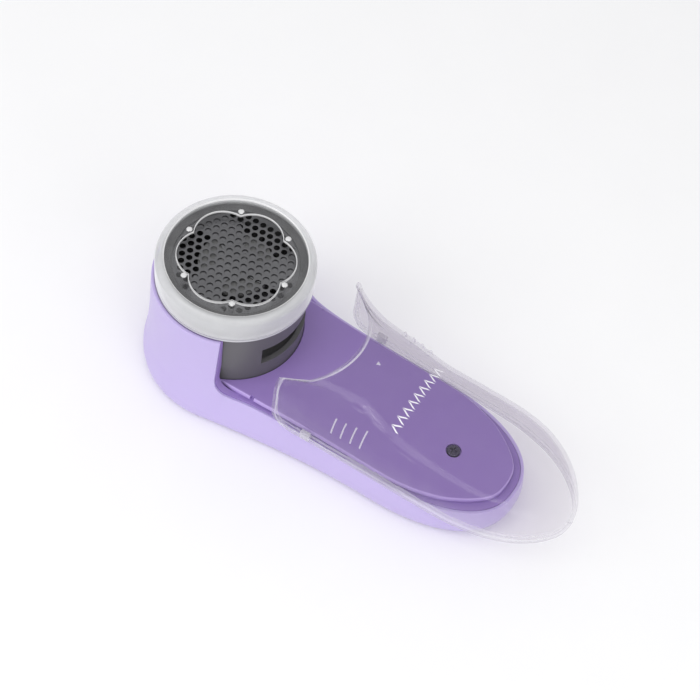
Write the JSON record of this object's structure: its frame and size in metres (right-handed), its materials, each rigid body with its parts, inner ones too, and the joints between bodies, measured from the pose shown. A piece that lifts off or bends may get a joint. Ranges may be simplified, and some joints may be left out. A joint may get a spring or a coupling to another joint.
{
  "type": "fabric shaver",
  "caption": "Battery fabric shaver with a round shaving head, clear petal guard, perforated foil and a clear slide-off lint container on its handle.",
  "frame": {"origin": "foot of the shaving head's axis on the flat base", "axes": "+X along the handle to its tail, +Z out of the shaving head, Y across, XZ is the plane of symmetry"},
  "size_m": [0.1963, 0.0768, 0.0635],
  "materials": {
    "lilac": "satin moulded plastic",
    "purple": "satin moulded plastic",
    "housing_grey": "fine satin moulding",
    "clear_guard": "polished clear moulding",
    "clear_container": "polished clear moulding",
    "silver_ring": "turned satin",
    "foil_steel": "etched foil, satin",
    "blade_steel": "ground",
    "white_plastic": "moulded",
    "lifter_plastic": "moulded",
    "spring_steel": "drawn wire",
    "screw_steel": "zinc plated",
    "motor_steel": "zinc plated can",
    "black_plastic": "moulded",
    "brass": "stamped",
    "contact_steel": "nickel plated",
    "cell_wrap": "printed sleeve without lettering",
    "red_pvc": "wire insulation",
    "black_pvc": "wire insulation",
    "blue_pvc": "wire insulation"
  },
  "bodies": {
    "casing": {"lower_shell": "lilac", "deck": "purple", "deck_screw": "screw_steel", "head_housing": "housing_grey", "housing_screws": "screw_steel", "motor_can": "motor_steel", "motor_endcap": "black_plastic", "motor_terminals": "brass", "motor_screws": "screw_steel", "battery_a": "cell_wrap", "battery_b": "cell_wrap", "head_contacts": "contact_steel", "tail_contact": "contact_steel", "contact_spring_a": "spring_steel", "contact_spring_b": "spring_steel", "switch_body": "black_plastic", "wire_red": "red_pvc", "wire_black": "black_pvc", "wire_switch": "blue_pvc"},
    "cutter": {"motor_shaft": "motor_steel", "blade_spring": "spring_steel", "blade_carrier": "white_plastic", "blades": "blade_steel"},
    "foil_unit": {"foil_ring": "silver_ring", "foil_clamp": "black_plastic", "foil": "foil_steel"},
    "lifter": {"lift_ring": "lifter_plastic"},
    "guard_cap": {"guard": "clear_guard"},
    "lint_container": {"container": "clear_container"},
    "door": {"battery_door": "lilac"},
    "switch": {"switch_knob": "purple"}
  },
  "joints": [
    {"name": "cutter_spin", "type": "hinge", "parent": "casing", "child": "cutter", "pos_m": [0, 0, 0.03], "axis": [0, 0, 1], "continuous": true},
    {"name": "foil_bayonet", "type": "hinge", "parent": "casing", "child": "foil_unit", "pos_m": [0, 0, 0.05], "axis": [0, 0, 1], "range_deg": [0, 20]},
    {"name": "guard_lift", "type": "slide", "parent": "foil_unit", "child": "lifter", "axis": [0, 0, 1], "range_m": [0, 0.002]},
    {"name": "guard_twist", "type": "hinge", "parent": "lifter", "child": "guard_cap", "pos_m": [0, 0, 0.05], "axis": [0, 0, 1], "range_deg": [0, 60]},
    {"name": "container_slide", "type": "slide", "parent": "casing", "child": "lint_container", "axis": [1, 0, 0], "range_m": [-0.026, 0.1]},
    {"name": "door_lift", "type": "slide", "parent": "casing", "child": "door", "axis": [0, 0, -1], "range_m": [0, 0.03]},
    {"name": "switch_slide", "type": "slide", "parent": "casing", "child": "switch", "axis": [1, 0, 0], "range_m": [0, 0.005]}
  ],
  "couplings": [
    {"joint": "guard_lift", "follows": "guard_twist", "m_per_rad": 0.0019099}
  ]
}
